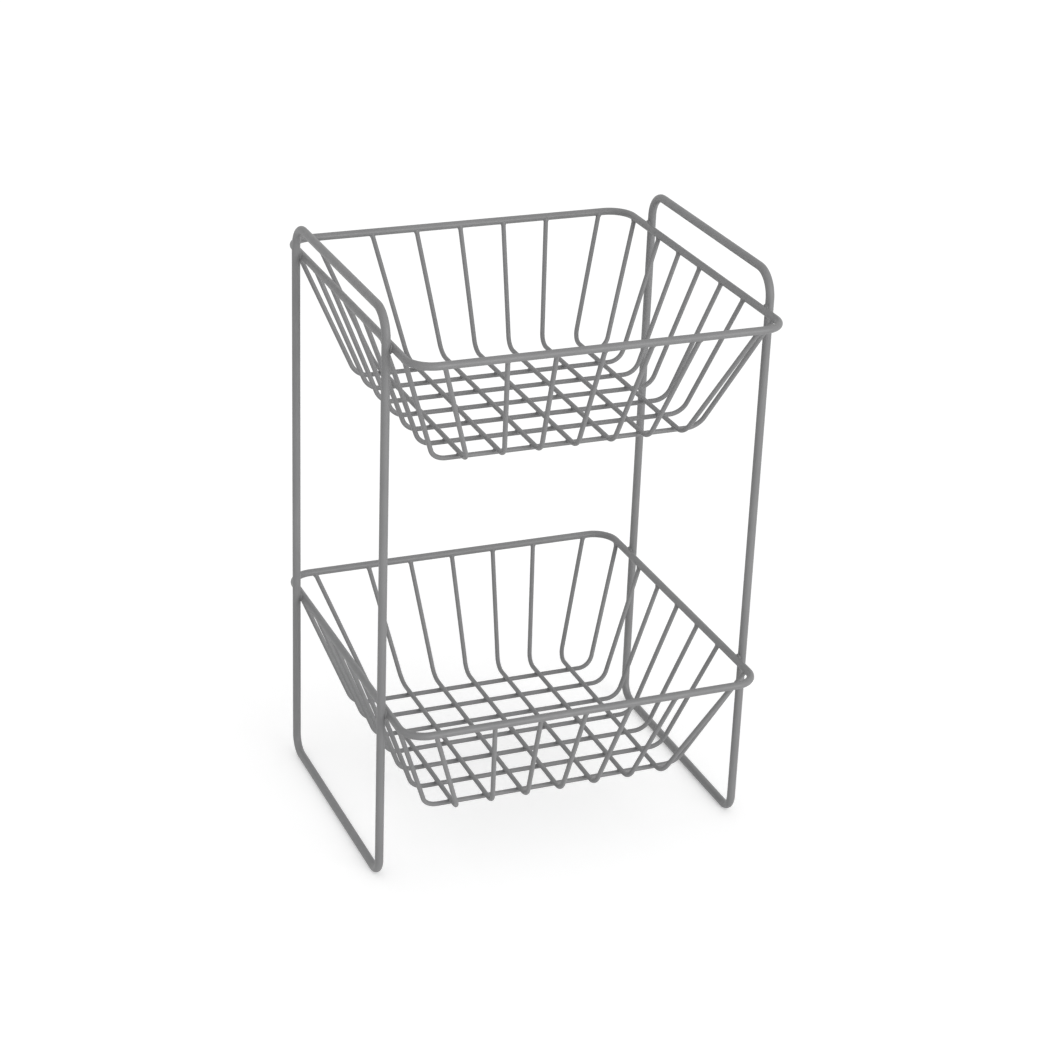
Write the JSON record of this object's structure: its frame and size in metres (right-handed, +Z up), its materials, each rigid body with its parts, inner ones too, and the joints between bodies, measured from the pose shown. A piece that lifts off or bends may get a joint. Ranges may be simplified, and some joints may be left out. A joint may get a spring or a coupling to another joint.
{
  "type": "tiered wire basket",
  "caption": "Free-standing rack of welded steel wire: side frames with top handles carry square, flared open-mesh baskets one above the other.",
  "frame": {"origin": "on the ground, midway between the side frames and between front and back", "axes": "+X to the right, from side frame to side frame, +Y to the back, +Z up"},
  "size_m": [0.281, 0.2734, 0.4244],
  "materials": {
    "coated_wire": "satin powder coat"
  },
  "bodies": {
    "root": {"left_side_frame": "coated_wire", "right_side_frame": "coated_wire", "lower_rim": "coated_wire", "lower_long_wire_1": "coated_wire", "lower_long_wire_2": "coated_wire", "lower_long_wire_3": "coated_wire", "lower_long_wire_4": "coated_wire", "lower_long_wire_5": "coated_wire", "lower_long_wire_6": "coated_wire", "lower_long_wire_7": "coated_wire", "lower_cross_wire_1": "coated_wire", "lower_cross_wire_2": "coated_wire", "lower_cross_wire_3": "coated_wire", "lower_cross_wire_4": "coated_wire", "lower_cross_wire_5": "coated_wire", "lower_cross_wire_6": "coated_wire", "lower_cross_wire_7": "coated_wire", "upper_rim": "coated_wire", "upper_long_wire_1": "coated_wire", "upper_long_wire_2": "coated_wire", "upper_long_wire_3": "coated_wire", "upper_long_wire_4": "coated_wire", "upper_long_wire_5": "coated_wire", "upper_long_wire_6": "coated_wire", "upper_long_wire_7": "coated_wire", "upper_cross_wire_1": "coated_wire", "upper_cross_wire_2": "coated_wire", "upper_cross_wire_3": "coated_wire", "upper_cross_wire_4": "coated_wire", "upper_cross_wire_5": "coated_wire", "upper_cross_wire_6": "coated_wire", "upper_cross_wire_7": "coated_wire"}
  },
  "joints": []
}
